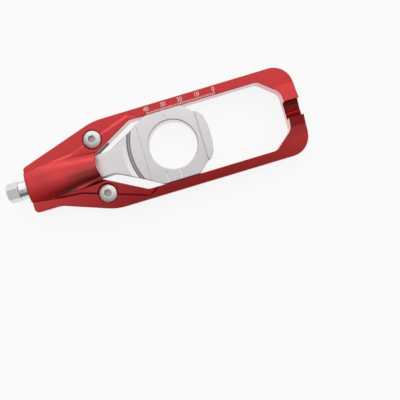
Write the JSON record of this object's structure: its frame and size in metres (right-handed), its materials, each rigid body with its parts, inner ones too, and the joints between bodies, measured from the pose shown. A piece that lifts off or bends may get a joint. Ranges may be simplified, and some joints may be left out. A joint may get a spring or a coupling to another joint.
{
  "type": "motorcycle chain adjuster",
  "caption": "Slotted red anodised loop with a nose, whose hex-headed screw draws a silver axle block along a millimetre scale.",
  "frame": {"origin": "centre of the axle bore on the back plane, with the block at the picture's setting", "axes": "+X along the slot away from the hex head, +Z along the axle out of the face"},
  "size_m": [0.1741, 0.052, 0.018],
  "materials": {
    "anodised_red": "satin",
    "anodised_silver": "satin",
    "polished_steel": "polished",
    "screw_steel": "polished",
    "spring_steel": "satin"
  },
  "bodies": {
    "frame": {"frame": "anodised_red", "back_plate": "anodised_red", "screw_bush": "polished_steel", "mounting_screw_upper": "screw_steel", "mounting_screw_lower": "screw_steel"},
    "slider": {"slider": "anodised_silver"},
    "screw": {"adjusting_screw": "polished_steel", "thrust_washer": "polished_steel", "circlip": "spring_steel"}
  },
  "joints": [
    {"name": "screw_spin", "type": "hinge", "parent": "frame", "child": "screw", "pos_m": [-0.09, 0, 0.00755], "axis": [-1, 0, 0], "range_deg": [-3241, 11161]},
    {"name": "slider_travel", "type": "slide", "parent": "frame", "child": "slider", "axis": [1, 0, 0], "range_m": [-0.009, 0.031]}
  ],
  "couplings": [
    {"joint": "screw_spin", "follows": "slider_travel", "rad_per_m": 6283.2}
  ]
}
